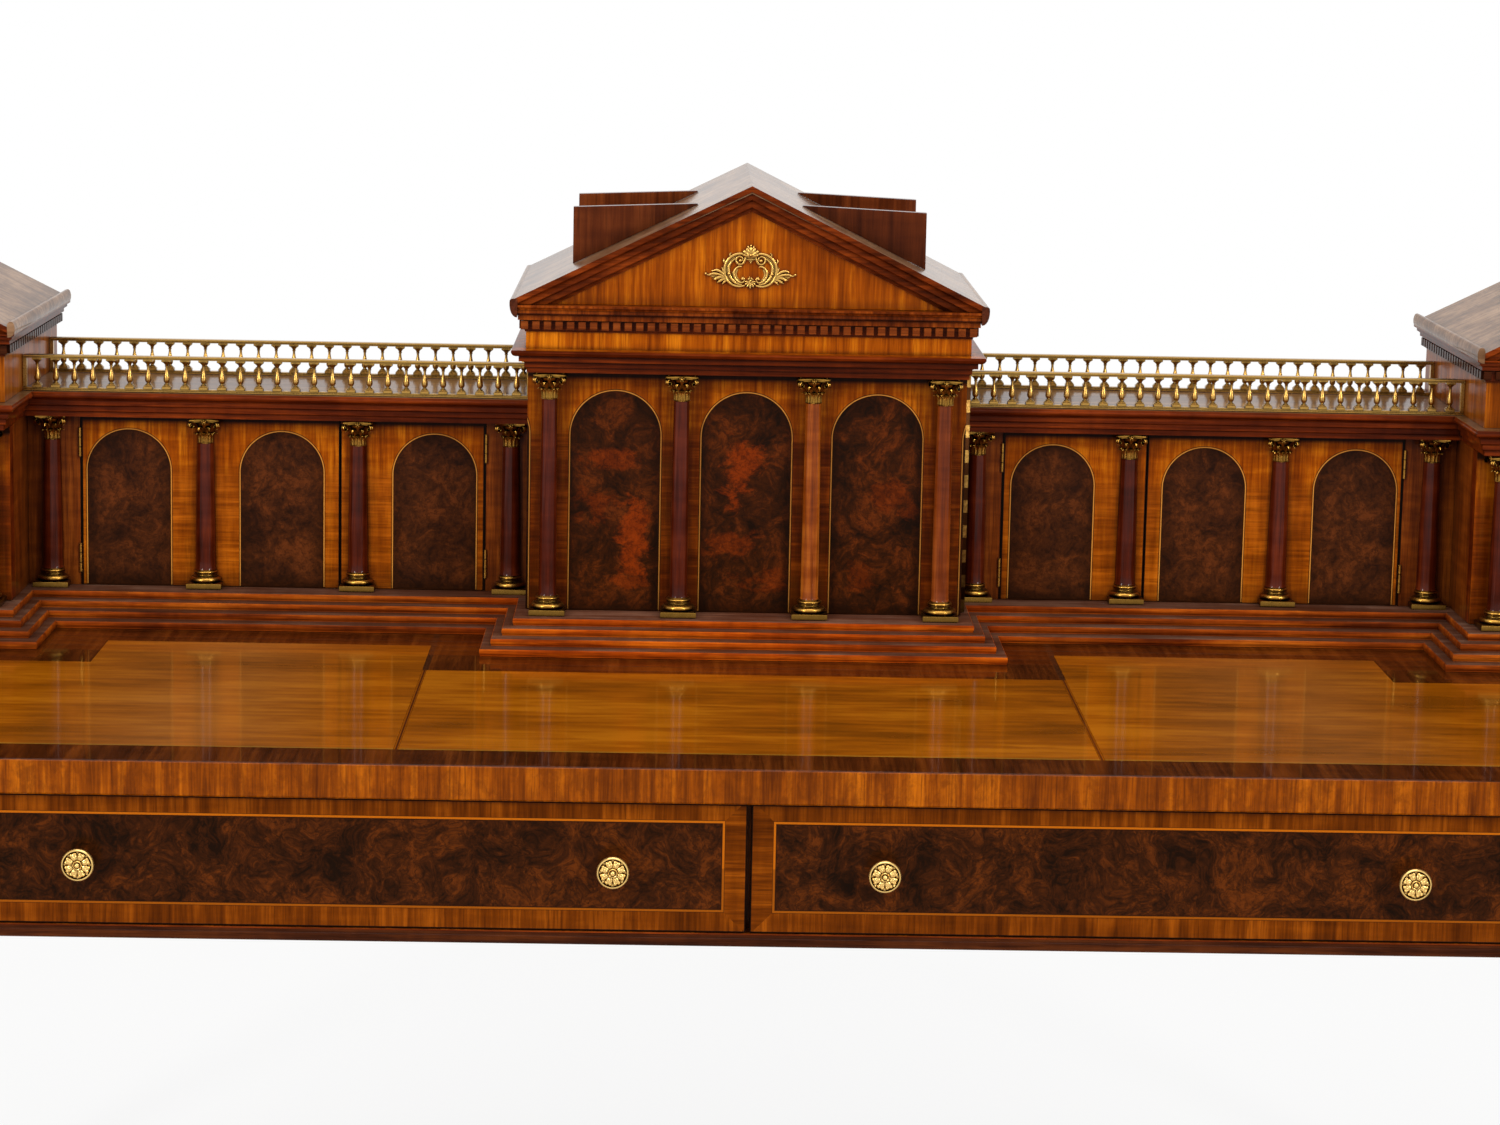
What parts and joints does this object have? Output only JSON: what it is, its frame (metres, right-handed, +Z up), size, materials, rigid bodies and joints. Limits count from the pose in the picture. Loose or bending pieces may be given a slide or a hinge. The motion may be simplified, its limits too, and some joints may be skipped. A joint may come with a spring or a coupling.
{
  "type": "writing desk with temple superstructure",
  "caption": "Wide veneered writing desk with leather top, frieze drawers and a temple-front superstructure of columned cupboards, gable roofs and brass galleries.",
  "frame": {"origin": "on the floor, under the middle of the whole desk's width and depth", "axes": "+X to the right of someone sitting at the desk, +Y from the sitter towards the back, +Z up"},
  "size_m": [1.96, 0.8504, 1.2397],
  "materials": {
    "gold_mahogany": "golden-brown figured mahogany veneer with burr walnut fields, satin polish",
    "red_mahogany": "red-brown mahogany mouldings and steps, satin polish",
    "dark_mahogany": "dark polished mahogany roofs and turned shafts, glossy",
    "leather": "ochre-tan polished leather with tooled border",
    "brass": "aged polished brass"
  },
  "bodies": {
    "root": {"desk_top": "gold_mahogany", "leather_centre": "leather", "leather_left": "leather", "leather_right": "leather", "apron_frame": "gold_mahogany", "leg_front_left": "gold_mahogany", "leg_front_right": "gold_mahogany", "leg_rear_left": "gold_mahogany", "leg_rear_right": "gold_mahogany", "steps_platform": "red_mahogany", "centre_carcase": "gold_mahogany", "piano_hinge": "brass", "centre_entablature": "red_mahogany", "centre_roof": "dark_mahogany", "attic_board_left_front": "red_mahogany", "attic_board_left_rear": "red_mahogany", "attic_board_right_front": "red_mahogany", "attic_board_right_rear": "red_mahogany", "cartouche": "brass", "left_wing_carcase": "gold_mahogany", "left_wing_column_1": "dark_mahogany", "left_wing_column_4": "dark_mahogany", "left_cornice": "red_mahogany", "left_gallery_front": "brass", "left_gallery_rear": "brass", "left_end_carcase": "gold_mahogany", "left_end_roof": "gold_mahogany", "right_wing_carcase": "gold_mahogany", "right_wing_column_1": "dark_mahogany", "right_wing_column_4": "dark_mahogany", "right_cornice": "red_mahogany", "right_gallery_front": "brass", "right_gallery_rear": "brass", "right_end_carcase": "gold_mahogany", "right_end_roof": "gold_mahogany"},
    "centre_door_body": {"centre_door": "gold_mahogany", "centre_column_1": "dark_mahogany", "centre_column_2": "dark_mahogany", "centre_column_3": "dark_mahogany", "centre_column_4": "dark_mahogany"},
    "left_inner_door_body": {"left_wing_inner_door": "gold_mahogany", "left_wing_column_2": "dark_mahogany"},
    "left_outer_door_body": {"left_wing_outer_door": "gold_mahogany", "left_wing_column_3": "dark_mahogany"},
    "right_inner_door_body": {"right_wing_inner_door": "gold_mahogany", "right_wing_column_2": "dark_mahogany"},
    "right_outer_door_body": {"right_wing_outer_door": "gold_mahogany", "right_wing_column_3": "dark_mahogany"},
    "left_end_door_body": {"left_end_door": "gold_mahogany", "left_end_column_1": "dark_mahogany", "left_end_column_2": "dark_mahogany"},
    "right_end_door_body": {"right_end_door": "gold_mahogany", "right_end_column_1": "dark_mahogany", "right_end_column_2": "dark_mahogany"},
    "left_drawer_body": {"drawer_left": "gold_mahogany", "knob_left_inner": "brass", "knob_left_outer": "brass"},
    "right_drawer_body": {"drawer_right": "gold_mahogany", "knob_right_inner": "brass", "knob_right_outer": "brass"}
  },
  "joints": [
    {"name": "centre_door_hinge", "type": "hinge", "parent": "root", "child": "centre_door_body", "pos_m": [0.22455, 0.13295, 0.8013], "axis": [0, 0, 1], "range_deg": [0, 90]},
    {"name": "left_inner_door_hinge", "type": "hinge", "parent": "root", "child": "left_inner_door_body", "pos_m": [-0.26805, 0.20465, 0.8013], "axis": [0, 0, 1], "range_deg": [0, 70]},
    {"name": "left_outer_door_hinge", "type": "hinge", "parent": "root", "child": "left_outer_door_body", "pos_m": [-0.68835, 0.20465, 0.8013], "axis": [0, 0, -1], "range_deg": [0, 90]},
    {"name": "right_inner_door_hinge", "type": "hinge", "parent": "root", "child": "right_inner_door_body", "pos_m": [0.26805, 0.20465, 0.8013], "axis": [0, 0, -1], "range_deg": [0, 70]},
    {"name": "right_outer_door_hinge", "type": "hinge", "parent": "root", "child": "right_outer_door_body", "pos_m": [0.68835, 0.20465, 0.8013], "axis": [0, 0, 1], "range_deg": [0, 90]},
    {"name": "left_end_door_hinge", "type": "hinge", "parent": "root", "child": "left_end_door_body", "pos_m": [-0.92345, 0.1323, 0.8013], "axis": [0, 0, -1], "range_deg": [0, 95]},
    {"name": "right_end_door_hinge", "type": "hinge", "parent": "root", "child": "right_end_door_body", "pos_m": [0.92345, 0.1323, 0.8013], "axis": [0, 0, 1], "range_deg": [0, 95]},
    {"name": "left_drawer_slide", "type": "slide", "parent": "root", "child": "left_drawer_body", "axis": [0, -1, 0], "range_m": [0, 0.33]},
    {"name": "right_drawer_slide", "type": "slide", "parent": "root", "child": "right_drawer_body", "axis": [0, -1, 0], "range_m": [0, 0.33]}
  ]
}
